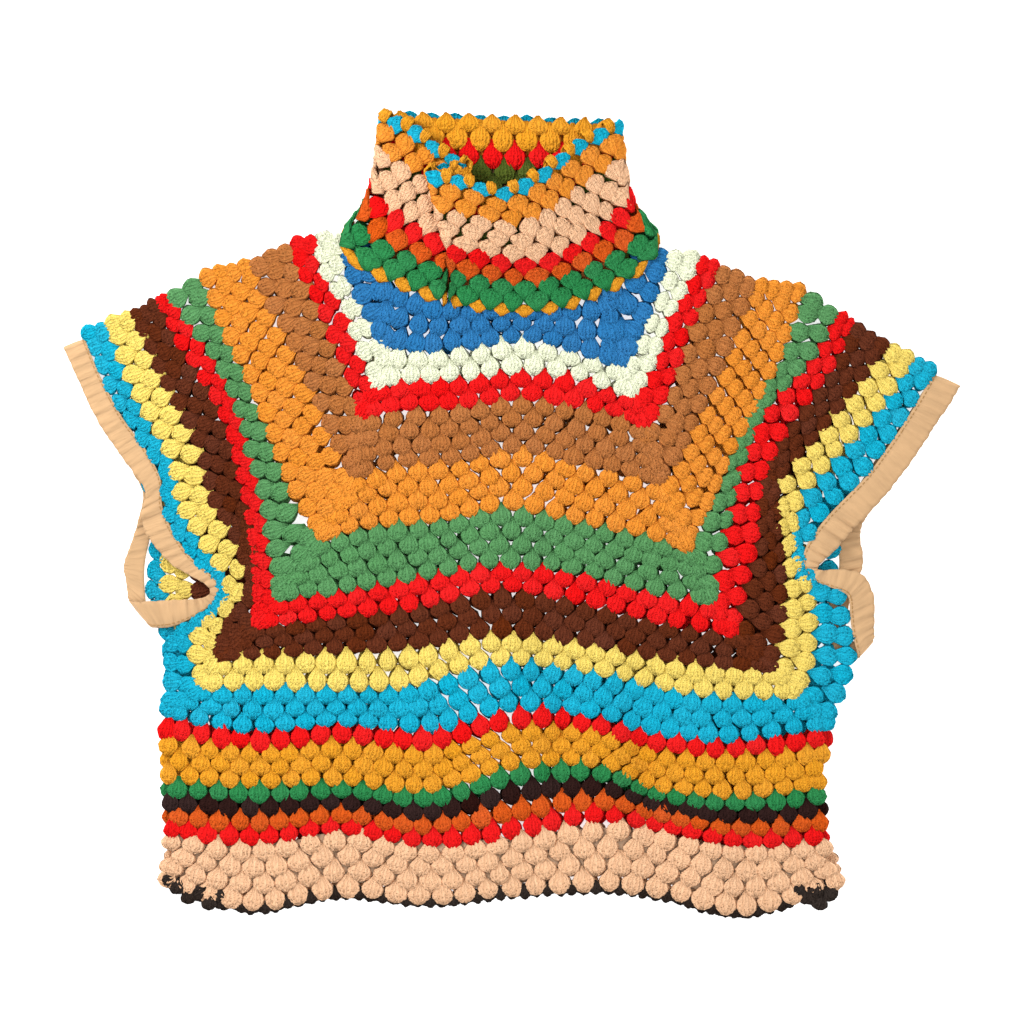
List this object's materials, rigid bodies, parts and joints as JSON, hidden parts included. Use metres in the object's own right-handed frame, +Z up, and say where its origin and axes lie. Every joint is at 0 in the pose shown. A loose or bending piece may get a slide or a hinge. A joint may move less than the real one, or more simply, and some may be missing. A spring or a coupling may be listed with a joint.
{
  "type": "crochet poncho laid flat",
  "caption": "Striped granny-square crochet poncho laid flat, with a turned-down cowl collar and twill-taped cuffs and hem.",
  "frame": {"origin": "on the underside of the back, in the middle of the laid-out garment", "axes": "+X to the viewer's right across the garment, +Y from the hem to the collar, +Z up out of the front"},
  "size_m": [0.8108, 0.7228, 0.0408],
  "materials": {
    "wool_orange": "matt plied wool",
    "wool_peach": "matt plied wool",
    "wool_blue": "matt plied wool",
    "wool_mint": "matt plied wool",
    "wool_red": "smooth plied wool",
    "wool_brown": "matt plied wool",
    "wool_green": "matt plied wool",
    "wool_dark_brown": "matt plied wool",
    "wool_yellow": "smooth plied wool",
    "wool_turquoise": "matt plied wool",
    "wool_mustard": "matt plied wool",
    "wool_bright_green": "matt plied wool",
    "wool_black_brown": "matt plied wool",
    "wool_rust": "matt plied wool",
    "wool_olive": "matt plied wool",
    "twill_tape": "soft twill"
  },
  "bodies": {
    "root": {"body_front": "wool_orange", "body_back": "wool_orange", "collar": "wool_peach", "armhole_binding_left": "twill_tape", "armhole_binding_right": "twill_tape", "hem_edging": "wool_black_brown", "hem_facing": "twill_tape"}
  },
  "joints": []
}
